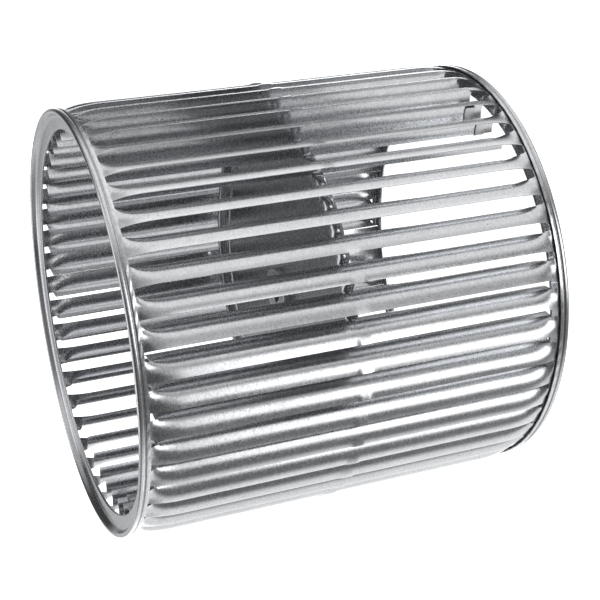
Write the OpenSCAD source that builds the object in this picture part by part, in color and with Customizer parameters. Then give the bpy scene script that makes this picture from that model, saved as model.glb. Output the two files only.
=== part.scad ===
// Double inlet blower wheel with forward curved blades, standing on its lower end ring.
// Sheet parts are drawn as the path of the middle of the sheet, which is then given its thickness.

/* [Wheel] */
// Outer diameter of the two end rings
ring_d = 270; // [250:1:300]
// Width of the wheel over both end rings
wheel_w = 272; // [200:1:330]

/* [Blade strip] */
// Number of blades around the wheel
blade_n = 48; // [40:1:52]
// How far the blade tips stand out past the end rings
tip_over = 0.8; // [0.6:0.1:1.6]
// Depth of a blade from tip to root, towards the axle
blade_depth = 19.6; // [17:0.1:22]
// Distance that a blade's root is set round from its tip
blade_lead = 10.1; // [8:0.1:12]
// Angle that the curve of a blade turns through
blade_turn = 112.6; // [100:0.1:118]
// Angle round the wheel of the first blade's tip
first_tip = -31.7; // [-60:0.1:60]
// Thickness of the strip
strip_t = 0.5; // [0.4:0.05:0.7]
// Distance from the wheel's end to the strip's edge, inside the bead of the ring
strip_edge = 1.8; // [1.5:0.1:2.4]
// Distance from the wheel's end to the ends of the slits between the blades
slit_end = 8.3; // [8.1:0.1:9.4]
// Distance from the wheel's end to the free inner corners of the blades
corner_end = 10; // [9.2:0.1:18]
// Clearance between the outer wall of a ring and the blade ends
end_gap = 0.6; // [0.2:0.1:0.8]

/* [End rings] */
// Thickness of the ring sheet
ring_t = 0.8; // [0.6:0.1:1]
// Outside radius of the bead rolled along the end of the wheel
bead_r = 1.7; // [1.5:0.1:2]
// Width from the ring's outer wall to the foot of the bead's inner wall
bead_w = 4.6; // [4.2:0.1:5.4]
// Width of the flat ledge inside the bead
ledge_w = 8.4; // [5:0.1:10]
// Depth of the ledge below the wheel's end
ledge_z = 4.3; // [3.9:0.1:5]
// Further drop of the ledge at its inner lip
lip_drop = 0.7; // [0:0.1:1.2]
// Height of the outer wall
ring_wall = 6.6; // [6:0.1:7]
// Distance from the wheel's end to the middle of the crimped groove
groove_z = 3.6; // [3.2:0.1:4.2]
// Width of the crimped groove
groove_w = 1.6; // [1.2:0.1:2.2]
// Depth of the crimped groove, which bears on the strip
groove_d = 0.8; // [0.5:0.1:1]
// Clearance left between the groove and the strip
crimp_gap = 0.05; // [0.02:0.01:0.1]

/* [Centre disc] */
// Thickness of the disc sheet
disc_t = 1.2; // [0.9:0.1:1.5]
// Distance that the plate's middle lies below the wheel's middle
disc_drop = 1.3; // [0:0.1:2]
// Height of the rim's crown above the wheel's middle
rim_top = 3.6; // [2.8:0.1:6]
// Reach of the rim's outer wall below the wheel's middle
rim_skirt = 4; // [3:0.1:8]
// Width between the two walls of the rim, middle to middle
rim_w = 3.4; // [2.6:0.1:5]
// How far the blade roots stand in the slots of the rim
rim_grip = 1; // [0.7:0.1:1.6]
// Clearance round a blade in its slot
slot_gap = 0.1; // [0.05:0.05:0.2]
// Distance from the rim's inner wall to the pressed bead
press_gap = 4.2; // [2.5:0.1:40]
// Width of the pressed bead
press_w = 8.4; // [6:0.1:9]
// Height of the pressed bead
press_h = 1.2; // [0.4:0.1:2]
// Width of each sloping side of the pressed bead
press_side = 1.6; // [1:0.1:2.4]

/* [Hub] */
// Diameter of the shaft bore
bore_d = 12.7; // [8:0.1:15.9]
// Diameter of the staked collar above the disc
collar_d = 31.75; // [30:0.05:36]
// Height of the collar above the wheel's middle
collar_top = 4; // [2:0.1:6]
// Diameter of the neck that passes through the disc
neck_d = 28.6; // [26:0.1:29]
// Clearance between the neck and the disc
neck_gap = 0.05; // [0.02:0.01:0.15]
// Diameter of the barrel below the disc
barrel_d = 38.1; // [37:0.1:44]
// Length of the hub over the collar and the barrel
hub_len = 38.1; // [30:0.1:50]
// Chamfer on the hub's edges
hub_edge = 0.8; // [0.4:0.1:1.2]
// Chamfer at the mouths of the bore
bore_edge = 0.5; // [0.3:0.1:1]

/* [Set screws] */
// Diameter of the set screws
screw_d = 7.94; // [6:0.01:8]
// Length of a set screw below its head
screw_len = 15.9; // [14.5:0.1:20]
// Width across the flats of the square head
head_w = 7.94; // [6.5:0.01:9.5]
// Height of the square head
head_h = 5.9; // [4:0.1:7]
// Distance from the end of the barrel to the screws
screw_z = 16; // [8:0.1:18]
// Clearance of a screw in its tapped hole
screw_gap = 0.05; // [0.02:0.01:0.1]
// Distance of the screw points from the wall of the bore
point_back = 0.4; // [0.2:0.1:1]

/* [Balance clips] */
// Length of a clip along the blade's root edge
clip_len = 6.5; // [5:0.1:9]
// Length of a clip's legs, round the curve of the blade
clip_reach = 10; // [7:0.1:12]
// Thickness of the clip's sheet
clip_t = 0.7; // [0.5:0.1:1]
// Clearance between a clip and its blade
clip_gap = 0.05; // [0.02:0.01:0.1]
// Distance from the lower end of the wheel to the two lower clips
clip_low = 16.4; // [14:0.1:60]
// Distance from the upper end of the wheel to the upper clip
clip_high = 17.1; // [14:0.1:60]
// Blade that carries the first lower clip, and the next one carries the second
clip_blade = 2; // [0:1:20]
// Blade that carries the upper clip
clip_blade_high = 22; // [0:1:38]

/* [Hidden] */
$fn = 192;
bend_steps = 10;
// Overlap of solids that are joined, and overshoot of those that are cut away
lap = 0.8;
cut = 1;
steel = [0.72, 0.73, 0.74];
dark_steel = [0.36, 0.36, 0.37];

ring_r = ring_d / 2;
mid_z = wheel_w / 2;
pitch = 360 / blade_n;

// The arc of one blade, with its tip on the X axis
tip_r = ring_r + tip_over;
chord = norm([blade_depth, blade_lead]);
chord_a = atan2(blade_lead, blade_depth);
curve_r = chord / (2 * sin(blade_turn / 2));
curve_x = tip_r - chord / 2 * cos(chord_a) - curve_r * cos(blade_turn / 2) * sin(chord_a);
curve_y = chord / 2 * sin(chord_a) - curve_r * cos(blade_turn / 2) * cos(chord_a);
tip_a = atan2(-curve_y, tip_r - curve_x);
root_a = tip_a + blade_turn;
root_r = norm([tip_r - blade_depth, blade_lead]);

// The margins of the strip, gripped by the grooves of the rings, whose sharp bends reach in furthest
groove_side = norm([groove_w / 2, groove_d]);
groove_in = ring_r - ring_t / 2 - groove_d - ring_t * groove_side / groove_w;
band_ro = groove_in - crimp_gap;
band_ri = band_ro - strip_t;
blade_end = ring_wall + end_gap;

// The rim of the disc, whose outer wall is slotted for the blade roots
rim_ro = root_r + rim_grip - disc_t / 2;
rim_ri = rim_ro - rim_w;
crown_r = rim_w / 2;
crown_z = rim_top - disc_t / 2 - crown_r;

// The hub, whose shoulder bears on the disc's underside
hub_low = mid_z + collar_top - hub_len;
disc_top = mid_z - disc_drop + disc_t / 2;
disc_under = mid_z - disc_drop - disc_t / 2;

function unit(v) = v / norm(v);
function left_of(v) = [-v[1], v[0]];
function before(p, i) = left_of(unit(i > 0 ? p[i] - p[i - 1] : p[1] - p[0]));
function after(p, i) = left_of(unit(i < len(p) - 1 ? p[i + 1] - p[i] : p[i] - p[i - 1]));
function mitre(p, i) = (before(p, i) + after(p, i)) / (1 + before(p, i) * after(p, i));
// Outline of a sheet of thickness t whose middle follows the path p
function sheet(p, t) = concat(
    [for (i = [0:len(p) - 1]) p[i] + mitre(p, i) * t / 2],
    [for (i = [len(p) - 1:-1:0]) p[i] - mitre(p, i) * t / 2]);
// Points of an arc about the centre c
function bend(c, r, a0, a1) = [for (i = [0:bend_steps])
    c + r * [cos(a0 + (a1 - a0) * i / bend_steps), sin(a0 + (a1 - a0) * i / bend_steps)]];

module sector(r, a0, a1) {
    polygon(concat([[0, 0]], [for (i = [0:3]) 2 * r * [cos(a0 + (a1 - a0) * i / 3), sin(a0 + (a1 - a0) * i / 3)]]));
}

// Band of the given half thickness along a blade's arc, between two angles about the arc's centre
module arc_band(half, a0, a1) {
    translate([curve_x, curve_y]) intersection() {
        difference() {
            circle(r = curve_r + half);
            circle(r = curve_r - half);
        }
        sector(curve_r, a0, a1);
    }
}

module on_blade(k) {
    rotate([0, 0, first_tip - pitch * k]) children();
}

module tube(ro, ri, z0, z1) {
    translate([0, 0, z0]) linear_extrude(z1 - z0) difference() {
        circle(r = ro);
        circle(r = ri);
    }
}

// Space that the blades fill: full depth between the free inner corners, and the outer part on to the margins
module blade_space() {
    in_r = root_r - cut;
    foot_r = band_ri - 2 * strip_t;
    neck_r = foot_r - (corner_end - blade_end) / 2;
    out_r = tip_r + cut;
    rotate_extrude() polygon([
        [in_r, corner_end], [neck_r, corner_end], [foot_r, blade_end], [out_r, blade_end],
        [out_r, wheel_w - blade_end], [foot_r, wheel_w - blade_end],
        [neck_r, wheel_w - corner_end], [in_r, wheel_w - corner_end]]);
}

module blade_strip() {
    color(steel) {
        intersection() {
            translate([0, 0, blade_end]) for (k = [0:blade_n - 1])
                on_blade(k) linear_extrude(wheel_w - 2 * blade_end) arc_band(strip_t / 2, tip_a, root_a);
            blade_space();
        }
        tube(band_ro, band_ri, strip_edge, slit_end);
        tube(band_ro, band_ri, wheel_w - slit_end, wheel_w - strip_edge);
    }
}

// A ring lying on its bead, with the ledge and the crimped outer wall above
module end_ring() {
    corner = [ring_r - bead_w, ledge_z];
    centre = [ring_r - bead_r, bead_r];
    fold_r = bead_r - ring_t / 2;
    to_corner = corner - centre;
    meet_a = atan2(to_corner[1], to_corner[0]) + acos(fold_r / norm(to_corner));
    wall_r = ring_r - ring_t / 2;
    path = concat(
        [corner + [-ledge_w, lip_drop], corner],
        bend(centre, fold_r, meet_a, 360),
        [[wall_r, groove_z - groove_w / 2], [wall_r - groove_d, groove_z],
         [wall_r, groove_z + groove_w / 2], [wall_r, ring_wall]]);
    rotate_extrude() polygon(sheet(path, ring_t));
}

module bottom_end_ring() {
    color(steel) end_ring();
}

module top_end_ring() {
    color(steel) translate([0, 0, wheel_w]) mirror([0, 0, 1]) end_ring();
}

module disc_sheet() {
    plate = -disc_drop;
    press_out = rim_ri - press_gap;
    press_in = press_out - press_w;
    path = concat(
        [[neck_d / 2 + neck_gap, plate], [press_in, plate], [press_in + press_side, plate + press_h],
         [press_out - press_side, plate + press_h], [press_out, plate], [rim_ri, plate]],
        bend([rim_ri + crown_r, crown_z], crown_r, 180, 0),
        [[rim_ro, -rim_skirt]]);
    translate([0, 0, mid_z]) rotate_extrude() polygon(sheet(path, disc_t));
}

module center_disc() {
    slot_a = slot_gap / curve_r * 180 / PI;
    color(steel) difference() {
        disc_sheet();
        translate([0, 0, mid_z - rim_skirt - cut]) for (k = [0:blade_n - 1])
            on_blade(k) linear_extrude(rim_skirt + rim_top + 2 * cut)
                arc_band(strip_t / 2 + slot_gap, tip_a, root_a + slot_a);
    }
}

module hub_body() {
    rotate_extrude() polygon([
        [bore_d / 2 + bore_edge, hub_low], [barrel_d / 2 - hub_edge, hub_low],
        [barrel_d / 2, hub_low + hub_edge], [barrel_d / 2, disc_under],
        [neck_d / 2, disc_under], [neck_d / 2, disc_top], [collar_d / 2, disc_top],
        [collar_d / 2, mid_z + collar_top - hub_edge], [collar_d / 2 - hub_edge, mid_z + collar_top],
        [bore_d / 2 + bore_edge, mid_z + collar_top], [bore_d / 2, mid_z + collar_top - bore_edge],
        [bore_d / 2, hub_low + bore_edge]]);
}

module at_screw(i) {
    translate([0, 0, hub_low + screw_z]) rotate([0, 0, 90 * i]) rotate([0, 90, 0]) children();
}

module hub() {
    color(steel) difference() {
        hub_body();
        for (i = [0:1]) at_screw(i) cylinder(d = screw_d, h = barrel_d / 2 + cut);
    }
}

module set_screw(i) {
    from = bore_d / 2 + point_back;
    point_h = screw_d / 6;
    color(dark_steel) at_screw(i) {
        translate([0, 0, from]) rotate_extrude() polygon([
            [0, 0], [screw_d / 4, 0], [screw_d / 2 - screw_gap, point_h],
            [screw_d / 2 - screw_gap, screw_len + lap], [0, screw_len + lap]]);
        translate([-head_w / 2, -head_w / 2, from + screw_len]) cube([head_w, head_w, head_h]);
    }
}

module balance_clip(k, z0) {
    degrees = 180 / PI / curve_r;
    inner = strip_t / 2 + clip_gap;
    reach_a = root_a - clip_reach * degrees;
    color(dark_steel) translate([0, 0, z0]) on_blade(k) linear_extrude(clip_len) difference() {
        arc_band(inner + clip_t, reach_a, root_a + (clip_gap + clip_t) * degrees);
        arc_band(inner, reach_a - cut * degrees, root_a + clip_gap * degrees);
    }
}

blade_strip();
top_end_ring();
bottom_end_ring();
center_disc();
hub();
set_screw(0);  // set_screw_1
set_screw(1);  // set_screw_2
balance_clip(clip_blade, clip_low);  // balance_clip_1
balance_clip(clip_blade + 1, clip_low);  // balance_clip_2
balance_clip(clip_blade_high, wheel_w - clip_high - clip_len);  // balance_clip_3
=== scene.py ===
# Visual model and studio stage for a double inlet blower wheel of galvanised sheet steel
import math
import bmesh
import bpy
from bpy.props import FloatProperty, FloatVectorProperty, IntProperty, PointerProperty
from mathutils import Matrix, Vector, noise


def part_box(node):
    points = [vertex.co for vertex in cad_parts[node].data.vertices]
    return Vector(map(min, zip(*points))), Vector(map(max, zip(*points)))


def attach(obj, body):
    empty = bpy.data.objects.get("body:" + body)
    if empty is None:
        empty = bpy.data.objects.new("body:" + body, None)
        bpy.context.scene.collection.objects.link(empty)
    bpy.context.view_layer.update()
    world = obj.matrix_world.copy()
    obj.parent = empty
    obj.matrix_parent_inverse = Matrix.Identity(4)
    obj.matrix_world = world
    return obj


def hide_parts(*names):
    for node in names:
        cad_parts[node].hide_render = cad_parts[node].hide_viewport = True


bl_info = {
    "name": "Blower Wheel",
    "version": (1, 0, 0),
    "blender": (4, 5, 0),
    "location": "3D View > Sidebar > Blower Wheel",
    "description": "Models the sheet steel pieces of a blower wheel and sets up its studio stage",
    "category": "Object",
}

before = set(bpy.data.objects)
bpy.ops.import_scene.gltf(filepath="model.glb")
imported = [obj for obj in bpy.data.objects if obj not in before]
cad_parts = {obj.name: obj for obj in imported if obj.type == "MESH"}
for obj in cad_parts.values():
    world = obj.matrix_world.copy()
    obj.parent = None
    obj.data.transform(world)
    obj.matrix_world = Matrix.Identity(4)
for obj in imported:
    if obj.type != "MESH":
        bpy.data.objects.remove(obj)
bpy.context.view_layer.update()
STRIP_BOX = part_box("blade_strip")
RING_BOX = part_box("top_end_ring")
HUB_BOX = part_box("hub")

MM = 0.001
WIDTH = RING_BOX[1][2]
MID = WIDTH / 2
RING_R = RING_BOX[1][0]
TIP_R = max(STRIP_BOX[1][0], STRIP_BOX[1][1])
AXIS = (0.0, 0.0, 1.0)


class BladeSizes(bpy.types.PropertyGroup):
    count: IntProperty(
        name="Blades", description="Number of blades", default=48)
    depth: FloatProperty(
        name="Depth", description="From tip to root, towards the axle",
        default=19.6 * MM, unit="LENGTH")
    lead: FloatProperty(
        name="Lead", description="Sideways offset of the root", default=10.1 * MM, unit="LENGTH")
    turn: FloatProperty(
        name="Turn", description="Angle of a blade's curve",
        default=math.radians(112.6), subtype="ANGLE")
    first: FloatProperty(
        name="First tip", description="Angle of the first tip",
        default=math.radians(-31.7), subtype="ANGLE")
    sheet: FloatProperty(
        name="Sheet", description="Thickness of the strip", default=0.5 * MM, unit="LENGTH")
    edge: FloatProperty(
        name="Edge", description="Depth of the strip's edge in the ring",
        default=1.8 * MM, unit="LENGTH")
    slit: FloatProperty(
        name="Slit end", description="Depth at which the slits end", default=7.3 * MM, unit="LENGTH")
    corner: FloatProperty(
        name="Corner", description="Depth of the free inner corners", default=10.4 * MM, unit="LENGTH")
    flare: FloatProperty(
        name="Flare", description="Depth at which a blade starts to unroll",
        default=30 * MM, unit="LENGTH")
    margin_r: FloatProperty(
        name="Margin radius", description="Radius of the strip's margins",
        default=132.9 * MM, unit="LENGTH")
    bent: IntProperty(
        name="Bent blade", description="Number of the blade whose tip stands straighter", default=9)


class RingSizes(bpy.types.PropertyGroup):
    sheet: FloatProperty(
        name="Sheet", description="Thickness of the ring sheet", default=0.8 * MM, unit="LENGTH")
    bead_r: FloatProperty(
        name="Bead", description="Outside radius of the bead", default=1.7 * MM, unit="LENGTH")
    bead_w: FloatProperty(
        name="Bead width", description="Outer wall to the bead's inner foot",
        default=4.6 * MM, unit="LENGTH")
    ledge_w: FloatProperty(
        name="Ledge", description="Width of the flat ledge", default=8.4 * MM, unit="LENGTH")
    ledge_z: FloatProperty(
        name="Ledge depth", description="Depth of the ledge", default=4.3 * MM, unit="LENGTH")
    lip_drop: FloatProperty(
        name="Lip drop", description="Further drop at the lip", default=0.7 * MM, unit="LENGTH")
    wall: FloatProperty(
        name="Wall", description="Height of the outer wall", default=6.6 * MM, unit="LENGTH")
    groove_z: FloatProperty(
        name="Groove", description="Depth of the groove's middle", default=3.6 * MM, unit="LENGTH")
    groove_w: FloatProperty(
        name="Groove width", description="Width of the groove", default=1.6 * MM, unit="LENGTH")
    groove_d: FloatProperty(
        name="Groove depth", description="Depth of the groove", default=0.55 * MM, unit="LENGTH")
    ripple: FloatProperty(
        name="Ripple", description="Height of the crimp ripples", default=0.1 * MM, unit="LENGTH")


class DiscSizes(bpy.types.PropertyGroup):
    sheet: FloatProperty(
        name="Sheet", description="Thickness of the disc sheet", default=1.2 * MM, unit="LENGTH")
    drop: FloatProperty(
        name="Drop", description="Plate below the wheel's middle", default=1.3 * MM, unit="LENGTH")
    rim_top: FloatProperty(
        name="Rim top", description="Crown above the middle", default=3.6 * MM, unit="LENGTH")
    rim_skirt: FloatProperty(
        name="Skirt", description="Outer wall below the middle", default=4 * MM, unit="LENGTH")
    rim_w: FloatProperty(
        name="Rim width", description="Between the rim's two walls", default=3.4 * MM, unit="LENGTH")
    rim_grip: FloatProperty(
        name="Grip", description="Overlap of rim and blade roots", default=1 * MM, unit="LENGTH")
    press_gap: FloatProperty(
        name="Bead gap", description="Rim to pressed bead", default=4.2 * MM, unit="LENGTH")
    press_w: FloatProperty(
        name="Bead width", description="Width of the pressed bead", default=8.4 * MM, unit="LENGTH")
    press_h: FloatProperty(
        name="Bead height", description="Height of the pressed bead", default=1.2 * MM, unit="LENGTH")
    press_side: FloatProperty(
        name="Bead side", description="Width of its slopes", default=1.6 * MM, unit="LENGTH")
    bulge: FloatProperty(
        name="Bulge", description="Swaged bulges between the roots", default=3.0 * MM, unit="LENGTH")


class HubSizes(bpy.types.PropertyGroup):
    bore_d: FloatProperty(
        name="Bore", description="Diameter of the bore", default=12.7 * MM, unit="LENGTH")
    collar_d: FloatProperty(
        name="Collar", description="Diameter of the collar", default=31.75 * MM, unit="LENGTH")
    neck_d: FloatProperty(
        name="Neck", description="Diameter inside the disc", default=28.6 * MM, unit="LENGTH")
    barrel_d: FloatProperty(
        name="Barrel", description="Diameter of the barrel", default=38.1 * MM, unit="LENGTH")
    edge: FloatProperty(
        name="Edge", description="Chamfer on the edges", default=0.8 * MM, unit="LENGTH")
    screw_d: FloatProperty(
        name="Screw", description="Diameter of the set screws", default=7.94 * MM, unit="LENGTH")
    screw_len: FloatProperty(
        name="Screw length", description="Below the head", default=15.9 * MM, unit="LENGTH")
    screw_z: FloatProperty(
        name="Screw place", description="From the end of the barrel", default=16 * MM, unit="LENGTH")
    head_w: FloatProperty(
        name="Head", description="Across the flats", default=7.94 * MM, unit="LENGTH")
    head_h: FloatProperty(
        name="Head height", description="Height of the head", default=5.9 * MM, unit="LENGTH")
    thread: FloatProperty(
        name="Thread", description="Pitch of the thread", default=1.41 * MM, unit="LENGTH")


class ClipSizes(bpy.types.PropertyGroup):
    length: FloatProperty(
        name="Length", description="Along the blade", default=6.5 * MM, unit="LENGTH")
    reach: FloatProperty(
        name="Reach", description="Length of the legs", default=10 * MM, unit="LENGTH")
    sheet: FloatProperty(
        name="Sheet", description="Thickness", default=0.7 * MM, unit="LENGTH")
    gap: FloatProperty(
        name="Gap", description="Clearance to the blade", default=0.05 * MM, unit="LENGTH")


class FinishColours(bpy.types.PropertyGroup):
    zinc: FloatVectorProperty(
        name="Zinc", description="Galvanised sheet", default=(0.62, 0.63, 0.645), subtype="COLOR")
    zinc_dark: FloatVectorProperty(
        name="Dark zinc", description="Darker spangle", default=(0.47, 0.48, 0.495), subtype="COLOR")
    # Painted shade: the disc's base colour is darker than the strip's zinc to stand in for the shade inside
    # the wheel, where the disc sits between the blades.
    disc: FloatVectorProperty(
        name="Disc", description="Centre disc", default=(0.46, 0.47, 0.485), subtype="COLOR")
    plated: FloatVectorProperty(
        name="Plated", description="Turned hub", default=(0.55, 0.55, 0.56), subtype="COLOR")
    black: FloatVectorProperty(
        name="Black oxide", description="Set screws", default=(0.09, 0.09, 0.095), subtype="COLOR")
    clip: FloatVectorProperty(
        name="Clip", description="Spring steel clips", default=(0.52, 0.53, 0.54), subtype="COLOR")
    floor: FloatVectorProperty(
        name="Floor", description="Studio floor", default=(0.93, 0.93, 0.93), subtype="COLOR")


LEVELS = "Strength below the wheel, at its level and above it"


class StudioSettings(bpy.types.PropertyGroup):
    lens: FloatProperty(
        name="Lens", description="Focal length on a 36 mm sensor", default=81.55)
    elevation: FloatProperty(
        name="Elevation", description="Of the camera", default=math.radians(20.12), subtype="ANGLE")
    roll: FloatProperty(
        name="Roll", description="Of the camera", default=math.radians(-99.67), subtype="ANGLE")
    distance: FloatProperty(
        name="Distance", description="Depth of the wheel's middle", default=0.8973, unit="LENGTH")
    right: FloatProperty(
        name="Right", description="Wheel's middle to the right", default=-12.74 * MM, unit="LENGTH")
    up: FloatProperty(
        name="Up", description="Wheel's middle above the view's", default=5.84 * MM, unit="LENGTH")
    ambient: FloatVectorProperty(
        name="Ambient", description=LEVELS, default=(0.2, 0.12, 0.04))
    backdrop: FloatVectorProperty(
        name="Backdrop", description=LEVELS, default=(3.1, 2.0, 0.6))
    side: FloatVectorProperty(
        name="Side", description=LEVELS, default=(1.02, 1.02, 0.3))
    front: FloatVectorProperty(
        name="Front", description=LEVELS, default=(2.6, 2.8, 0.3))
    upper: FloatVectorProperty(
        name="Upper", description=LEVELS, default=(0.95, 1.1, 0.6))
    under: FloatProperty(
        name="Under", description="Strength of the light straight below", default=0.3)
    over: FloatVectorProperty(
        name="Over", description="Strength straight above, near side and far side",
        size=2, default=(0.4, 1.8))
    floor_glow: FloatProperty(
        name="Floor glow", description="Light given off by the floor", default=1.1)


GROUPS = {
    "wheel_blades": BladeSizes, "wheel_rings": RingSizes, "wheel_disc": DiscSizes, "wheel_hub": HubSizes,
    "wheel_clips": ClipSizes, "wheel_finish": FinishColours, "wheel_studio": StudioSettings,
}


def smooth(x):
    """0 below 0 and 1 above 1, with a soft step between."""
    x = min(max(x, 0.0), 1.0)
    return x * x * (3 - 2 * x)


def mix(a, b, w):
    return a + (b - a) * w


def polar(r, angle):
    return Vector((r * math.cos(angle), r * math.sin(angle)))


class BladeCurve:
    """The arc of one blade's section, in the blade's own axes, with its tip on the X axis."""

    def __init__(self, b):
        chord = math.hypot(b.depth, b.lead)
        chord_a = math.atan2(b.lead, b.depth)
        half = b.turn / 2
        self.turn = b.turn
        self.r = chord / (2 * math.sin(half))
        self.centre = Vector((
            TIP_R - chord / 2 * math.cos(chord_a) - self.r * math.cos(half) * math.sin(chord_a),
            chord / 2 * math.sin(chord_a) - self.r * math.cos(half) * math.cos(chord_a)))
        self.tip_a = math.atan2(-self.centre.y, TIP_R - self.centre.x)
        self.root = Vector((TIP_R - b.depth, b.lead))

    def at(self, u, out=0.0):
        """The point at the share u of the way from tip to root, moved out from the arc."""
        return self.centre + polar(self.r + out, self.tip_a + self.turn * u)

    def straightened(self, u, lip):
        """The same point on a blade whose tip, up to the share lip, was bent straight."""
        if u >= lip:
            return self.at(u)
        bend = self.at(lip)
        return bend + (bend - self.centre).orthogonal() * self.turn * (u - lip)

    def share(self, p):
        """The share of the way from tip to root of a point near the arc."""
        return (math.atan2(p.y - self.centre.y, p.x - self.centre.x) - self.tip_a) / self.turn


def blade_angle(k):
    """Angle round the wheel of the tip of blade k."""
    b = bpy.context.scene.wheel_blades
    return b.first - 2 * math.pi / b.count * k


def deselect():
    """Leaves edit mode with nothing selected."""
    if bpy.context.object and bpy.context.object.mode != "OBJECT":
        bpy.ops.object.mode_set(mode="OBJECT")
    bpy.ops.object.select_all(action="DESELECT")


def only(*objects):
    """Selects these objects alone, the first of them active."""
    deselect()
    for obj in objects:
        obj.select_set(True)
    bpy.context.view_layer.objects.active = objects[0]


def edit_all():
    """Edit mode with the whole mesh selected."""
    bpy.ops.object.mode_set(mode="EDIT")
    bpy.ops.mesh.select_all(action="SELECT")


def vertex_at(place):
    """A new mesh of one vertex, in edit mode with it selected."""
    deselect()
    bpy.ops.mesh.primitive_plane_add(size=MM, location=(0, 0, 0))
    edit_all()
    bpy.ops.mesh.merge(type="CENTER")
    bpy.ops.transform.translate(value=place)
    return bpy.context.object


def extrude_path(points):
    """A new line of edges through these points, left in edit mode with all of it selected."""
    obj = vertex_at(points[0])
    for a, b in zip(points, points[1:]):
        bpy.ops.mesh.extrude_region_move(TRANSFORM_OT_translate={"value": Vector(b) - Vector(a)})
    bpy.ops.mesh.select_all(action="SELECT")
    return obj


def weld(distance=2e-6):
    """Merges doubles and turns the faces outwards, in edit mode."""
    bpy.ops.mesh.select_all(action="SELECT")
    bpy.ops.mesh.remove_doubles(threshold=distance)
    bpy.ops.mesh.normals_make_consistent(inside=False)


def lathe(points, steps):
    """Spins a path of (radius, height) points round the axle into a skin."""
    obj = extrude_path([(r, 0.0, z) for r, z in points])
    bpy.ops.mesh.spin(steps=steps, angle=2 * math.pi, center=(0, 0, 0), axis=AXIS)
    weld()
    bpy.ops.object.mode_set(mode="OBJECT")
    return obj


def modify(obj, kind, **values):
    """Adds a modifier and applies it at once."""
    only(obj)
    modifier = obj.modifiers.new(kind.title(), kind)
    for key, value in values.items():
        setattr(modifier, key, value)
    bpy.ops.object.modifier_apply(modifier=modifier.name)


def thicken(obj, thickness):
    """Gives a sheet its thickness, half on each side."""
    modify(obj, "SOLIDIFY", thickness=thickness, offset=0.0, use_even_offset=False)


def shade(obj, degrees=40):
    only(obj)
    bpy.ops.object.shade_smooth_by_angle(angle=math.radians(degrees))


def copy_of(obj):
    """A copy with its own mesh."""
    twin = obj.copy()
    twin.data = obj.data.copy()
    bpy.context.collection.objects.link(twin)
    return twin


def place_in_mesh(obj):
    """Moves an object's place into its mesh, so that it sits at the origin."""
    only(obj)
    bpy.ops.object.transform_apply(location=True, rotation=True, scale=True)


def finish_piece(obj, name, node, material):
    """Names a piece, gives it its material, hangs it on the root body and hides its CAD node."""
    place_in_mesh(obj)
    obj.name = name
    obj.data.name = name
    obj.data.materials.clear()
    obj.data.materials.append(material)
    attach(obj, "root")
    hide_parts(node)


def arc(centre, r, a0, a1, steps):
    """Points of an arc in the plane of radius and height, both ends included."""
    c = Vector(centre)
    return [c + polar(r, a0 + (a1 - a0) * i / steps) for i in range(steps + 1)]


def rounded(points, r, steps=3):
    """A path with its inner corners rounded to about the radius r."""
    path = [Vector(points[0])]
    for before, corner, after in zip(points, points[1:], points[2:]):
        corner = Vector(corner)
        back = Vector(before) - corner
        on = Vector(after) - corner
        reach = min(r, back.length * 0.45, on.length * 0.45)
        a = corner + back.normalized() * reach
        b = corner + on.normalized() * reach
        for i in range(steps + 1):
            t = i / steps
            path.append(a * (1 - t) ** 2 + corner * 2 * t * (1 - t) + b * t ** 2)
    path.append(Vector(points[-1]))
    return path


def split(a, b, length):
    """Points from a to b, b left out, no further apart than length."""
    a = Vector(a)
    b = Vector(b)
    count = max(1, math.ceil((b - a).length / length))
    return [a + (b - a) * i / count for i in range(count)]


# Finishes


ZINC_METALLIC = 0.93


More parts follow.
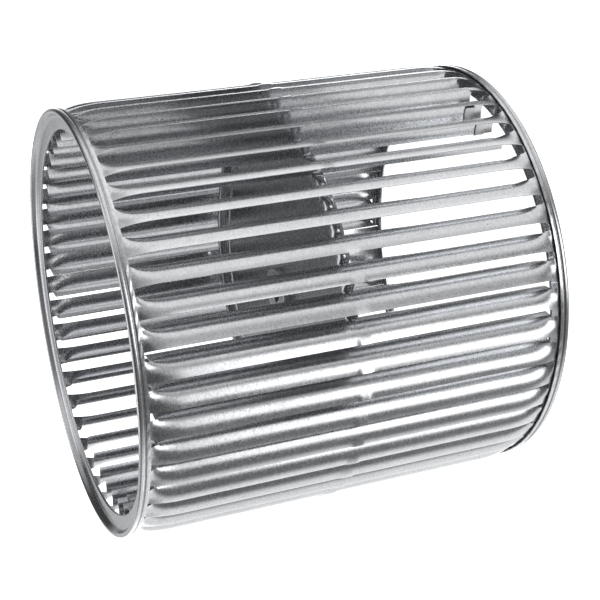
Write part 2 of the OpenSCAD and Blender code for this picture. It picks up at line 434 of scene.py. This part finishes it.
class Nodes:
    """Short calls for building a node tree."""

    def __init__(self, owner, shader, space):
        owner.use_nodes = True
        self.tree = owner.node_tree
        self.shader = self.tree.nodes[shader]
        self.coords = self.add("ShaderNodeTexCoord").outputs[space]

    def add(self, kind, **values):
        node = self.tree.nodes.new(kind)
        for key, value in values.items():
            setattr(node, key, value)
        return node

    def link(self, a, b):
        self.tree.links.new(a, b)

    def noise(self, scale, detail, roughness, stretch=None):
        """Noise in the object's space, finer along the axes that stretch names."""
        node = self.add("ShaderNodeTexNoise")
        node.inputs["Scale"].default_value = scale
        node.inputs["Detail"].default_value = detail
        node.inputs["Roughness"].default_value = roughness
        self.link(self.spread(stretch), node.inputs["Vector"])
        return node.outputs["Fac"]

    def spread(self, stretch):
        if not stretch:
            return self.coords
        mapping = self.add("ShaderNodeMapping")
        mapping.inputs["Scale"].default_value = stretch
        self.link(self.coords, mapping.inputs["Vector"])
        return mapping.outputs["Vector"]

    def cells(self, scale):
        """A random colour for each grain of the zinc."""
        node = self.add("ShaderNodeTexVoronoi")
        node.inputs["Scale"].default_value = scale
        self.link(self.coords, node.inputs["Vector"])
        return node.outputs["Color"]

    def ramp(self, value, low, high, out_low=0.0, out_high=1.0):
        """Maps a value from one range to another, held at its ends."""
        node = self.add("ShaderNodeMapRange")
        node.inputs["From Min"].default_value = low
        node.inputs["From Max"].default_value = high
        node.inputs["To Min"].default_value = out_low
        node.inputs["To Max"].default_value = out_high
        self.link(value, node.inputs["Value"])
        return node.outputs["Result"]

    def math(self, operation, *values):
        node = self.add("ShaderNodeMath", operation=operation)
        for socket, value in zip(node.inputs, values):
            if isinstance(value, (int, float)):
                socket.default_value = value
            else:
                self.link(value, socket)
        return node.outputs[0]

    def blend(self, factor, a, b):
        """Colour a mixed towards colour b. Each argument may be a socket or a plain value."""
        node = self.add("ShaderNodeMix", data_type="RGBA")
        if isinstance(factor, (int, float)):
            node.inputs[0].default_value = factor
        else:
            self.link(factor, node.inputs[0])
        for socket, value in ((node.inputs[6], a), (node.inputs[7], b)):
            if hasattr(value, "is_linked"):
                self.link(value, socket)
            else:
                socket.default_value = (*value, 1.0)
        return node.outputs[2]

    def bump(self, height, strength, distance, under=None):
        node = self.add("ShaderNodeBump")
        node.inputs["Strength"].default_value = strength
        node.inputs["Distance"].default_value = distance
        self.link(height, node.inputs["Height"])
        if under is not None:
            self.link(under, node.inputs["Normal"])
        return node.outputs["Normal"]

    def worn_edges(self, low=0.51, high=0.60):
        """1 on sharp outer edges, 0 on flat faces."""
        geometry = self.add("ShaderNodeNewGeometry")
        return self.ramp(geometry.outputs["Pointiness"], low, high)


def galvanised(name, light, dark, rough, spangle, relief, streak=(1, 1, 1), mottle=0.8):
    """Zinc coated sheet: fine spangle, dark specks, cloudy patches, rolling marks and bright worn edges."""
    material = bpy.data.materials.new(name)
    n = Nodes(material, "Principled BSDF", "Object")
    tone = n.add("ShaderNodeSeparateColor")
    n.link(n.cells(spangle), tone.inputs[0])
    clouds = n.noise(38, detail=5, roughness=0.6)
    grain = n.noise(spangle * 1.1, detail=3, roughness=0.65)
    marks = n.noise(260, detail=4, roughness=0.65, stretch=streak)
    specks = n.noise(spangle * 0.6, detail=2, roughness=0.5)
    colour = n.blend(n.ramp(tone.outputs[0], 0.0, 1.0, 0.0, mottle), light, dark)
    colour = n.blend(n.ramp(clouds, 0.35, 0.75, 0.0, 0.4), colour, dark)
    colour = n.blend(n.ramp(marks, 0.62, 0.8, 0.0, 0.35), colour, dark)
    colour = n.blend(n.ramp(specks, 0.68, 0.74, 0.0, 0.7), colour, [c * 0.5 for c in dark])
    worn = n.math("MULTIPLY", n.worn_edges(), 0.6)
    colour = n.blend(worn, colour, [min(1.0, c * 1.3) for c in light])
    n.link(colour, n.shader.inputs["Base Color"])
    roughness = n.ramp(tone.outputs[1], 0.0, 1.0, rough - 0.05, rough + 0.07)
    roughness = n.math("ADD", roughness, n.ramp(clouds, 0.3, 0.8, -0.03, 0.06))
    n.link(roughness, n.shader.inputs["Roughness"])
    n.shader.inputs["Metallic"].default_value = ZINC_METALLIC
    normal = n.bump(grain, 1.0, relief)
    normal = n.bump(marks, 0.12, 0.04 * MM, normal)
    n.link(normal, n.shader.inputs["Normal"])
    return material


def plain_metal(name, colour, rough, grain, ring_marks=0.0):
    """Turned or blackened steel with grain, smudges and worn edges."""
    material = bpy.data.materials.new(name)
    n = Nodes(material, "Principled BSDF", "Object")
    grit = n.noise(grain, detail=4, roughness=0.6)
    smudge = n.noise(60, detail=4, roughness=0.6)
    shade_of = n.blend(n.ramp(smudge, 0.35, 0.75, 0.0, 0.5), colour, [c * 0.7 for c in colour])
    bright = [min(1.0, c * 1.6 + 0.12) for c in colour]
    shade_of = n.blend(n.math("MULTIPLY", n.worn_edges(), 0.7), shade_of, bright)
    n.link(shade_of, n.shader.inputs["Base Color"])
    roughness = n.ramp(grit, 0.3, 0.7, rough - 0.05, rough + 0.07)
    roughness = n.math("ADD", roughness, n.ramp(smudge, 0.3, 0.8, -0.03, 0.07))
    n.link(roughness, n.shader.inputs["Roughness"])
    n.shader.inputs["Metallic"].default_value = 1.0
    normal = n.bump(grit, 0.3, 0.04 * MM)
    if ring_marks:
        turned = n.add("ShaderNodeTexWave", wave_type="RINGS", rings_direction="Z")
        turned.inputs["Scale"].default_value = 420
        turned.inputs["Distortion"].default_value = 1.5
        n.link(n.coords, turned.inputs["Vector"])
        normal = n.bump(turned.outputs["Fac"], ring_marks, 0.03 * MM, normal)
    n.link(normal, n.shader.inputs["Normal"])
    return material


# Blade strip


def strip_rows(b):
    """Heights of the rows of faces: close together at the ends and at the disc."""
    end = [b.edge, 4.2 * MM, 6 * MM, b.slit, 8.2 * MM, 9.2 * MM, b.corner, 11.5 * MM, 12.8 * MM, 14.2 * MM,
           15.8 * MM, 17.6 * MM, 19.8 * MM, 22.4 * MM, 25.6 * MM, b.flare, 36 * MM]
    middle = [MID + i * MM for i in (-7, -5, -3.5, -2.5, -1.5, -0.5, 0.8, 2, 3, 4, 5, 6.5, 9)]
    stretch = 12 * MM
    lower = [p.x for p in split((end[-1], 0), (middle[0], 0), stretch)][1:]
    upper = [p.x for p in split((middle[-1], 0), (WIDTH - end[-1], 0), stretch)][1:]
    return end + lower + middle + upper + [WIDTH - d for d in reversed(end)]


MARGIN_SHARE = 0.5
MARGIN_FROM = math.radians(-0.3)
MARGIN_TO = math.radians(5.0)
BLADE_COLUMNS = 12
MARGIN_WELD = 20e-6

# How the press shapes a blade: its straighter tip, the dimple at the disc and the unrolled ends
LIP_SHARE = 0.17
DIMPLE = 0.6 * MM
DIMPLE_SHARE = 0.16
WAVER = 0.10 * MM
FLARE_SPREAD = 2.5 * MM
FLARE_INSIDE = 0.85
UNROLL_POWER = 2.5
UNROLL_UP_TO = 0.46
UNROLL_FADE = 0.2


def margin_angle(b, u):
    """Angle from the blade's tip at which the share u of a blade lies in the margin."""
    if u <= MARGIN_SHARE:
        return mix(MARGIN_FROM, MARGIN_TO, u / MARGIN_SHARE)
    pitch = 2 * math.pi / b.count
    return mix(MARGIN_TO, MARGIN_FROM + pitch, (u - MARGIN_SHARE) / (1 - MARGIN_SHARE))


def press_point(b, curve, u, z, seed):
    """Where the press puts a point of the sheet: on the arc, unrolled at the ends, dimpled at the disc."""
    depth = min(z, WIDTH - z)
    if depth < b.slit + 0.1 * MM:
        return polar(b.margin_r, margin_angle(b, u))
    out = WAVER * noise.noise(Vector((seed * 7.3, z / (30 * MM), u * 1.5)))
    dimple = smooth((z - MID + 4 * MM) / (2 * MM)) * smooth((MID + 6 * MM - z) / (3 * MM))
    on_arc = curve.at(u, out) + Vector((DIMPLE * dimple * (1 - smooth(u / DIMPLE_SHARE)), 0))
    if seed == b.bent + 1:
        on_arc += curve.straightened(u, LIP_SHARE) - curve.at(u)
    reach = b.flare + FLARE_SPREAD * noise.noise(Vector((seed * 3.1, 0.5 if z > MID else 9.5, 0)))
    start = mix(reach, FLARE_INSIDE * b.flare, smooth(u / MARGIN_SHARE))
    near = max(0.0, (start - depth) / (start - b.slit))
    unroll = near ** UNROLL_POWER * (1 - smooth((u - UNROLL_UP_TO) / UNROLL_FADE))
    flat = polar(b.margin_r, margin_angle(b, min(u, MARGIN_SHARE)) + 0.02 * max(0.0, u - MARGIN_SHARE))
    return on_arc.lerp(flat, unroll)


def press_blade(sheet, b, curve, seed):
    """Moves a plain curved blade's vertices to the pressed shape."""
    for v in sheet.data.vertices:
        u = round(curve.share(v.co) * BLADE_COLUMNS) / BLADE_COLUMNS
        p = press_point(b, curve, u, v.co.z, seed)
        v.co.x = p.x
        v.co.y = p.y


def plain_blade(b, curve):
    """A line down the tip, spun round the middle of the arc, with its four free corners cut out."""
    rows = strip_rows(b)
    tip = curve.at(0)
    sheet = extrude_path([(tip.x, tip.y, z) for z in rows])
    bpy.ops.mesh.spin(steps=BLADE_COLUMNS, angle=-b.turn, center=(*curve.centre, 0), axis=AXIS)
    bpy.ops.mesh.select_all(action="SELECT")
    bpy.ops.mesh.remove_doubles(threshold=1e-6)
    bpy.ops.mesh.select_mode(type="FACE")
    bpy.ops.mesh.select_all(action="DESELECT")
    mesh = bmesh.from_edit_mesh(sheet.data)
    for face in mesh.faces:
        middle = face.calc_center_median()
        depth = min(middle.z, WIDTH - middle.z)
        face.select = b.slit < depth < b.corner and curve.share(middle) > MARGIN_SHARE
    bmesh.update_edit_mesh(sheet.data)
    bpy.ops.mesh.delete(type="FACE")
    bpy.ops.mesh.select_mode(type="VERT")
    bpy.ops.object.mode_set(mode="OBJECT")
    return sheet


def build_strip(b, material):
    """Presses each blade, joins them by their margins and gives the strip its thickness."""
    curve = BladeCurve(b)
    model = plain_blade(b, curve)
    blades = []
    for k in range(b.count):
        blade = copy_of(model)
        press_blade(blade, b, curve, k + 1)
        blade.data.transform(Matrix.Rotation(blade_angle(k), 4, "Z"))
        blades.append(blade)
    bpy.data.objects.remove(model)
    only(*blades)
    bpy.ops.object.join()
    strip = bpy.context.object
    edit_all()
    weld(MARGIN_WELD)
    bpy.ops.object.mode_set(mode="OBJECT")
    thicken(strip, b.sheet)
    shade(strip, 35)
    finish_piece(strip, "blade_strip_sheet", "blade_strip", material)
    return strip


# End rings


RING_STEPS = 480
RIPPLES = 96
RIPPLE_SLANT = 9
RIPPLE_UNEVEN = 0.6
DENT = 0.12 * MM


def ring_path(r):
    """Middle of the ring's sheet for the lower ring: ledge, bead, groove and crimped wall."""
    wall_r = RING_R - r.sheet / 2
    fold = r.bead_r - r.sheet / 2
    centre = Vector((RING_R - r.bead_r, r.bead_r))
    corner = Vector((RING_R - r.bead_w, r.ledge_z))
    to_corner = corner - centre
    meet = math.atan2(to_corner.y, to_corner.x) + math.acos(fold / to_corner.length)
    lip = corner + Vector((-r.ledge_w, r.lip_drop))
    inner = rounded([lip + Vector((0, 0.9 * MM)), lip, corner, centre + polar(fold, meet)], 1.8 * MM, 5)
    bead = arc(centre, fold, meet, 2 * math.pi, 12)
    deep = wall_r - r.groove_d
    groove = rounded([
        (wall_r, r.bead_r + 0.3 * MM), (wall_r, r.groove_z - r.groove_w / 2),
        (deep, r.groove_z - 0.2 * MM), (deep, r.groove_z + 0.2 * MM),
        (wall_r - 0.05 * MM, r.groove_z + r.groove_w / 2),
        (wall_r - 0.1 * MM, r.wall - r.sheet / 2)], 0.35 * MM)
    wall = split(groove[-2], groove[-1], 0.7 * MM)
    return inner[:-1] + bead + groove[:-2] + wall + [groove[-1]]


def crimp(ring, r):
    """Presses the ripples of the crimping rolls into the wall below the groove."""
    low = r.groove_z + r.groove_w / 2
    for v in ring.data.vertices:
        radius = math.hypot(v.co.x, v.co.y)
        if v.co.z < low or radius < RING_R - 2 * MM:
            continue
        angle = math.atan2(v.co.y, v.co.x)
        slant = (v.co.z - low) / (8 * MM)
        uneven = noise.noise(Vector((math.cos(angle), math.sin(angle), 0.3)) * 14)
        wave = math.sin(RIPPLES * angle + RIPPLE_SLANT * slant) + RIPPLE_UNEVEN * uneven
        share = smooth((v.co.z - low) / (1.2 * MM))
        scale = 1 + r.ripple * share * wave / radius
        v.co.x *= scale
        v.co.y *= scale


def dent(ring):
    """Small uneven bends of a rolled ring."""
    for v in ring.data.vertices:
        angle = math.atan2(v.co.y, v.co.x)
        soft = noise.noise(Vector((math.cos(angle), math.sin(angle), 2.0)) * 2.5)
        v.co.z += DENT * soft * smooth(v.co.z / (3 * MM))


def build_rings(r, material):
    """Rolls one ring, thickens it, and turns a copy over for the upper end."""
    ring = lathe(ring_path(r), RING_STEPS)
    crimp(ring, r)
    dent(ring)
    thicken(ring, r.sheet)
    shade(ring, 45)
    upper = copy_of(ring)
    upper.data.transform(Matrix.Translation((0, 0, WIDTH)) @ Matrix.Rotation(math.pi, 4, "X"))
    finish_piece(ring, "lower_ring_rolled", "bottom_end_ring", material)
    finish_piece(upper, "upper_ring_rolled", "top_end_ring", material)


# Centre disc


DISC_STEPS = 960
DOME_FROM = 0.4
DOME_Z = 0.4 * MM
DOME_REACH = 3.8 * MM
PINCH = 0.3 * MM


def disc_path(d, neck_r, rim_ro):
    """Middle of the disc's sheet from the hub to the end of the rim's skirt."""
    plate = MID - d.drop
    rim_ri = rim_ro - d.rim_w
    crown_r = d.rim_w / 2
    crown_z = MID + d.rim_top - d.sheet / 2 - crown_r
    press_out = rim_ri - d.press_gap
    press_in = press_out - d.press_w
    plate_path = split((neck_r, plate), (press_in - 2 * MM, plate), 12 * MM)
    pressed = rounded([
        (press_in - 2 * MM, plate), (press_in, plate), (press_in + d.press_side, plate + d.press_h),
        (press_out - d.press_side, plate + d.press_h), (press_out, plate), (rim_ri, plate),
        (rim_ri, crown_z)], 1.1 * MM)
    crown = arc((rim_ri + crown_r, crown_z), crown_r, math.pi, 0, 10)
    skirt = split(crown[-1], (rim_ro, MID - d.rim_skirt), 0.8 * MM)
    return plate_path + pressed[:-1] + crown[:-1] + skirt + [Vector((rim_ro, MID - d.rim_skirt))]


def swage(disc, d, b, curve, rim_ro):
    """Bulges the rim out between the blade roots and pinches it at each slot."""
    pitch = 2 * math.pi / b.count
    root_a = math.atan2(curve.root.y, curve.root.x)
    crown_r = rim_ro - d.rim_w / 2
    for v in disc.data.vertices:
        radius = math.hypot(v.co.x, v.co.y)
        if radius < crown_r:
            continue
        place = (math.atan2(v.co.y, v.co.x) - b.first - root_a) / pitch
        between = abs(math.sin(math.pi * place))
        share = smooth((radius - crown_r) / (d.rim_w / 2))
        dome = smooth((between - DOME_FROM) / (1 - DOME_FROM))
        dome *= smooth(1.2 - abs(v.co.z - MID - DOME_Z) / DOME_REACH)
        push = share * (d.bulge * dome - PINCH * (1 - between))
        scale = 1 + push / radius
        v.co.x *= scale
        v.co.y *= scale


def build_disc(d, b, neck_r, material):
    curve = BladeCurve(b)
    rim_ro = curve.root.length + d.rim_grip - d.sheet / 2
    disc = lathe(disc_path(d, neck_r, rim_ro), DISC_STEPS)
    swage(disc, d, b, curve, rim_ro)
    thicken(disc, d.sheet)
    shade(disc, 40)
    finish_piece(disc, "center_disc_pressed", "center_disc", material)


# Hub and set screws


HUB_STEPS = 128
SHANK_STEPS = 40
THREAD_ROWS = 6
THREAD_DEPTH = 0.62 * MM
POINT_LENGTH = 1.6 * MM
POINT_SHARE = 0.55


def hub_levels(h):
    """Heights of the hub's ends, of the disc's two faces, and of the screws."""
    low = HUB_BOX[0][2]
    top = HUB_BOX[1][2]
    d = bpy.context.scene.wheel_disc
    disc_top = MID - d.drop + d.sheet / 2
    return low, top, disc_top - d.sheet, disc_top, low + h.screw_z


def hub_path(h):
    low, top, under, over, _ = hub_levels(h)
    bore = h.bore_d / 2
    barrel = h.barrel_d / 2
    collar = h.collar_d / 2
    mouth = 0.5 * MM
    stake = 2.2 * MM
    return [
        (bore, low + mouth), (bore + mouth, low), (barrel - h.edge, low),
        (barrel - 0.2 * h.edge, low + 0.25 * h.edge), (barrel, low + h.edge),
        (barrel, under), (h.neck_d / 2, under), (h.neck_d / 2, over),
        (collar - 0.3 * MM, over), (collar, over + 0.5 * MM), (collar, top - h.edge),
        (collar - 0.3 * h.edge, top - 0.2 * h.edge), (collar - h.edge, top), (collar - stake, top),
        (collar - stake - 0.4 * MM, top - 0.45 * MM), (collar - stake - 0.9 * MM, top - 0.45 * MM),
        (collar - stake - 1.3 * MM, top), (bore + mouth, top), (bore, top - mouth), (bore, low + mouth)]


def bored(hub, h):
    """Cuts the two tapped holes that the set screws stand in."""
    screw_z = hub_levels(h)[4]
    length = h.barrel_d / 2 + MM
    for side in range(2):
        deselect()
        bpy.ops.mesh.primitive_cylinder_add(vertices=64, radius=h.screw_d / 2, depth=length)
        drill = bpy.context.object
        turn = Matrix.Rotation(math.pi / 2 * side, 4, "Z") @ Matrix.Translation((length / 2, 0, screw_z))
        drill.data.transform(turn @ Matrix.Rotation(math.pi / 2, 4, "Y"))
        modify(hub, "BOOLEAN", operation="DIFFERENCE", object=drill, solver="EXACT")
        bpy.data.objects.remove(drill)


def build_hub(h, material):
    hub = lathe(hub_path(h), HUB_STEPS)
    bored(hub, h)
    shade(hub, 30)
    finish_piece(hub, "hub_turned", "hub", material)


def threaded_shank(h, length):
    """A cylinder whose rows of vertices follow the thread, with a pointed end."""
    rows = math.ceil(length / h.thread * THREAD_ROWS)
    radius = h.screw_d / 2 - 0.05 * MM
    shank = lathe([(radius, length * i / rows) for i in range(rows + 1)], SHANK_STEPS)
    for v in shank.data.vertices:
        angle = math.atan2(v.co.y, v.co.x)
        phase = (v.co.z / h.thread - angle / (2 * math.pi)) % 1.0
        cut = THREAD_DEPTH * abs(2 * phase - 1)
        point = smooth(v.co.z / POINT_LENGTH)
        scale = (mix(POINT_SHARE, 1.0, point) * radius - cut * point) / radius
        v.co.x *= scale
        v.co.y *= scale
    only(shank)
    bpy.ops.object.mode_set(mode="EDIT")
    bpy.ops.mesh.select_all(action="DESELECT")
    bpy.ops.mesh.select_non_manifold()
    bpy.ops.mesh.edge_face_add()
    bpy.ops.object.mode_set(mode="OBJECT")
    return shank


def square_head(h):
    """A bevelled square head with its top edges turned down."""
    deselect()
    bpy.ops.mesh.primitive_cube_add(size=1.0, location=(0, 0, 0))
    head = bpy.context.object
    edit_all()
    bpy.ops.transform.resize(value=(h.head_w, h.head_w, h.head_h))
    bpy.ops.mesh.bevel(offset=0.5 * MM, segments=2)
    bpy.ops.object.mode_set(mode="OBJECT")
    head.data.transform(Matrix.Translation((0, 0, h.screw_len + h.head_h / 2)))
    return head


def build_screws(h, material):
    shank = threaded_shank(h, h.screw_len + 0.8 * MM)
    head = square_head(h)
    modify(head, "BOOLEAN", operation="UNION", object=shank, solver="EXACT")
    bpy.data.objects.remove(shank)
    shade(head, 35)
    start = h.bore_d / 2 + 0.4 * MM
    lay = Matrix.Translation((start, 0, hub_levels(h)[4])) @ Matrix.Rotation(math.pi / 2, 4, "Y")
    for i in range(2):
        number = str(i + 1)
        screw = copy_of(head)
        screw.data.transform(Matrix.Rotation(math.pi / 2 * i, 4, "Z") @ lay)
        finish_piece(screw, "set_screw_threaded_" + number, "set_screw_" + number, material)
    bpy.data.objects.remove(head)


# Balance clips


CLIP_BLADES = {"balance_clip_1": 2, "balance_clip_2": 3, "balance_clip_3": 22}
CLIP_STEPS = 7
CLIP_ROWS = 3
CLIP_LIP = 0.5 * MM
FOLD_STEPS = 8


def clip_path(c, b, curve):
    """Middle of the clip's sheet: up one side of the blade, round its root and back."""
    out = b.sheet / 2 + c.gap + c.sheet / 2
    start = 1 - c.reach / (curve.r * curve.turn)
    sides = [start + (1 - start) * i / CLIP_STEPS for i in range(CLIP_STEPS + 1)]
    outer = [curve.at(u, out) for u in sides]
    inner = [curve.at(u, -out) for u in reversed(sides)]
    end_a = curve.tip_a + curve.turn
    fold = [curve.root + polar(out, end_a + math.pi * i / FOLD_STEPS) for i in range(1, FOLD_STEPS)]
    outer[0] = curve.at(start, out + CLIP_LIP)
    inner[-1] = curve.at(start, -out - CLIP_LIP)
    return outer + fold + inner


def build_clip(c, b, name, k, z0, material):
    curve = BladeCurve(b)
    path = [(p.x, p.y, z0) for p in clip_path(c, b, curve)]
    clip = extrude_path(path)
    for _ in range(CLIP_ROWS):
        bpy.ops.mesh.extrude_region_move(TRANSFORM_OT_translate={"value": (0, 0, c.length / CLIP_ROWS)})
    bpy.ops.mesh.select_all(action="SELECT")
    bpy.ops.mesh.normals_make_consistent(inside=False)
    bpy.ops.object.mode_set(mode="OBJECT")
    thicken(clip, c.sheet)
    modify(clip, "BEVEL", width=0.12 * MM, segments=2, limit_method="ANGLE", angle_limit=math.radians(50))
    clip.data.transform(Matrix.Rotation(blade_angle(k), 4, "Z"))
    shade(clip, 40)
    finish_piece(clip, name + "_folded", name, material)


# Operators


class BuildStrip(bpy.types.Operator):
    """Models the one piece strip of pressed blades"""
    bl_idname = "blower_wheel.strip"
    bl_label = "Blade Strip"

    def execute(self, context):
        colours = context.scene.wheel_finish
        steel = galvanised("zinc_strip", colours.zinc, colours.zinc_dark, rough=0.21, spangle=1000,
                           relief=0.01 * MM, streak=(1, 1, 0.06))
        build_strip(context.scene.wheel_blades, steel)
        return {"FINISHED"}


class BuildRings(bpy.types.Operator):
    """Models the two rolled end rings"""
    bl_idname = "blower_wheel.rings"
    bl_label = "End Rings"

    def execute(self, context):
        colours = context.scene.wheel_finish
        steel = galvanised("zinc_ring", colours.zinc, colours.zinc_dark, rough=0.17, spangle=1100,
                           relief=0.012 * MM)
        build_rings(context.scene.wheel_rings, steel)
        return {"FINISHED"}


class BuildDisc(bpy.types.Operator):
    """Models the pressed centre disc"""
    bl_idname = "blower_wheel.disc"
    bl_label = "Centre Disc"

    def execute(self, context):
        colours = context.scene.wheel_finish
        # Painted shade: the disc's darker tones stand in for the shade inside the wheel.
        dark = [c * 0.8 for c in colours.disc]
        steel = galvanised("zinc_disc", colours.disc, dark, rough=0.22, spangle=900, relief=0.004 * MM,
                           mottle=0.35)
        neck_r = context.scene.wheel_hub.neck_d / 2 + 0.05 * MM
        build_disc(context.scene.wheel_disc, context.scene.wheel_blades, neck_r, steel)
        return {"FINISHED"}


class BuildHub(bpy.types.Operator):
    """Models the turned hub and its set screws"""
    bl_idname = "blower_wheel.hub"
    bl_label = "Hub and Screws"

    def execute(self, context):
        colours = context.scene.wheel_finish
        turned = plain_metal("turned_hub", list(colours.plated), rough=0.3, grain=2200, ring_marks=0.3)
        build_hub(context.scene.wheel_hub, turned)
        oxide = plain_metal("black_oxide", list(colours.black), rough=0.38, grain=2600)
        build_screws(context.scene.wheel_hub, oxide)
        return {"FINISHED"}


class BuildClips(bpy.types.Operator):
    """Models the three balance clips"""
    bl_idname = "blower_wheel.clips"
    bl_label = "Balance Clips"

    def execute(self, context):
        scene = context.scene
        steel = plain_metal("clip_steel", list(scene.wheel_finish.clip), rough=0.34, grain=2400)
        for name, k in CLIP_BLADES.items():
            build_clip(scene.wheel_clips, scene.wheel_blades, name, k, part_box(name)[0][2], steel)
        return {"FINISHED"}


def aim_camera(s):
    """Puts the camera where the fit to the photo has it."""
    back = Vector((0, -math.cos(s.elevation), math.sin(s.elevation)))
    level = (-back).cross(Vector(AXIS)).normalized()
    over = level.cross(-back)
    right = level * math.cos(s.roll) + over * math.sin(s.roll)
    up = over * math.cos(s.roll) - level * math.sin(s.roll)
    place = Vector((0, 0, MID)) + back * s.distance - right * s.right - up * s.up
    camera = bpy.data.cameras.new("camera")
    camera.lens = s.lens
    camera.sensor_width = 36.0
    camera.sensor_fit = "HORIZONTAL"
    holder = bpy.data.objects.new("camera", camera)
    bpy.context.collection.objects.link(holder)
    holder.matrix_world = Matrix((
        (right.x, up.x, back.x, place.x),
        (right.y, up.y, back.y, place.y),
        (right.z, up.z, back.z, place.z),
        (0, 0, 0, 1)))
    bpy.context.scene.camera = holder


# Heights of sight, as the sine of its angle above the horizon, at which the sky changes
SKY_LEVEL = (-0.44, -0.3)
SKY_SOFT = 0.05
SKY_TOP = (0.75, 0.85)
SKY_BOTTOM = (-0.72, -0.78)


def by_level(n, levels, top=0.0):
    """A strength that changes softly from below the wheel to its level, and from there to above it."""
    height = n.direction[2]
    low, middle, high = levels
    above = n.ramp(height, top - SKY_SOFT, top + SKY_SOFT, 0.0, high - middle)
    return n.math("ADD", n.ramp(height, *SKY_LEVEL, low, middle), above)


def light_panel(n, levels, heading, half, soft, lean=0, top=0.0):
    """A far soft panel: a window of headings, in degrees, with soft sides, that leans with the height."""
    middle = n.math("MULTIPLY_ADD", n.direction[2], math.radians(lean), math.radians(heading))
    off = n.math("SUBTRACT", n.math("ARCTAN2", n.direction[1], n.direction[0]), middle)
    off = n.math("ABSOLUTE", n.math("WRAP", off, math.pi, -math.pi))
    across = n.ramp(off, math.radians(half - soft), math.radians(half + soft), 1.0, 0.0)
    return n.math("MULTIPLY", across, by_level(n, levels, top))


def light_studio(s):
    """A sky of soft panels that the metal mirrors, seen by the camera itself as plain pale paper."""
    world = bpy.data.worlds.new("studio")
    n = Nodes(world, "Background", "Generated")
    direction = n.add("ShaderNodeSeparateXYZ")
    n.link(n.coords, direction.inputs[0])
    n.direction = direction.outputs
    height = n.direction[2]
    total = by_level(n, s.ambient)
    panels = (
        light_panel(n, s.backdrop, heading=103, half=33, soft=12, lean=30),
        light_panel(n, s.side, heading=163, half=37, soft=12),
        light_panel(n, s.front, heading=-71, half=19, soft=6, lean=50, top=-0.27),
        light_panel(n, s.upper, heading=-17, half=36, soft=13))
    for panel in panels:
        total = n.math("ADD", total, panel)
    over = n.ramp(n.direction[1], -0.1, 0.15, s.over[0], s.over[1])
    total = n.blend(n.ramp(height, *SKY_TOP), total, over)
    total = n.blend(n.ramp(height, *SKY_BOTTOM), total, [s.under] * 3)
    paper = n.add("ShaderNodeLightPath").outputs["Is Camera Ray"]
    n.link(n.math("MAXIMUM", total, paper), n.shader.inputs["Strength"])
    n.shader.inputs["Color"].default_value = (1.0, 1.0, 1.0, 1)
    bpy.context.scene.world = world


def floor_material(colour, glow):
    """Matt white paper that gives off a little light, with the faintest mottling."""
    material = bpy.data.materials.new("studio_floor")
    n = Nodes(material, "Principled BSDF", "Object")
    soft = n.noise(6, detail=2, roughness=0.5)
    mottled = n.blend(n.ramp(soft, 0.3, 0.7, 0.0, 0.2), colour, [c * 0.985 for c in colour])
    n.link(mottled, n.shader.inputs["Base Color"])
    n.shader.inputs["Roughness"].default_value = 0.9
    n.shader.inputs["Emission Color"].default_value = (1, 1, 1, 1)
    n.shader.inputs["Emission Strength"].default_value = glow
    return material


class BuildStage(bpy.types.Operator):
    """Sets up the floor, the lights and the camera"""
    bl_idname = "blower_wheel.stage"
    bl_label = "Studio Stage"

    def execute(self, context):
        s = context.scene.wheel_studio
        deselect()
        bpy.ops.mesh.primitive_plane_add(size=12.0, location=(0, 0, 0))
        floor = context.object
        floor.name = "studio_floor"
        floor.data.materials.append(floor_material(list(context.scene.wheel_finish.floor), s.floor_glow))
        floor.visible_glossy = False
        floor.visible_shadow = False
        light_studio(s)
        context.scene.view_settings.view_transform = "Standard"
        aim_camera(s)
        return {"FINISHED"}


OPERATORS = (BuildStrip, BuildRings, BuildDisc, BuildHub, BuildClips, BuildStage)


class BlowerWheelPanel(bpy.types.Panel):
    """Lists the steps that build the wheel and its stage"""
    bl_idname = "VIEW3D_PT_blower_wheel"
    bl_label = "Blower Wheel"
    bl_space_type = "VIEW_3D"
    bl_region_type = "UI"
    bl_category = "Blower Wheel"

    def draw(self, context):
        for operator in OPERATORS:
            self.layout.operator(operator.bl_idname)


def register():
    for group in GROUPS.values():
        bpy.utils.register_class(group)
    for name, group in GROUPS.items():
        setattr(bpy.types.Scene, name, PointerProperty(type=group))
    for operator in OPERATORS:
        bpy.utils.register_class(operator)
    bpy.utils.register_class(BlowerWheelPanel)


def unregister():
    bpy.utils.unregister_class(BlowerWheelPanel)
    for operator in reversed(OPERATORS):
        bpy.utils.unregister_class(operator)
    for name in GROUPS:
        delattr(bpy.types.Scene, name)
    for group in reversed(GROUPS.values()):
        bpy.utils.unregister_class(group)


def main():
    register()
    bpy.ops.blower_wheel.stage()
    bpy.ops.blower_wheel.rings()
    bpy.ops.blower_wheel.disc()
    bpy.ops.blower_wheel.hub()
    bpy.ops.blower_wheel.clips()
    bpy.ops.blower_wheel.strip()
    deselect()


if __name__ == "__main__":
    main()
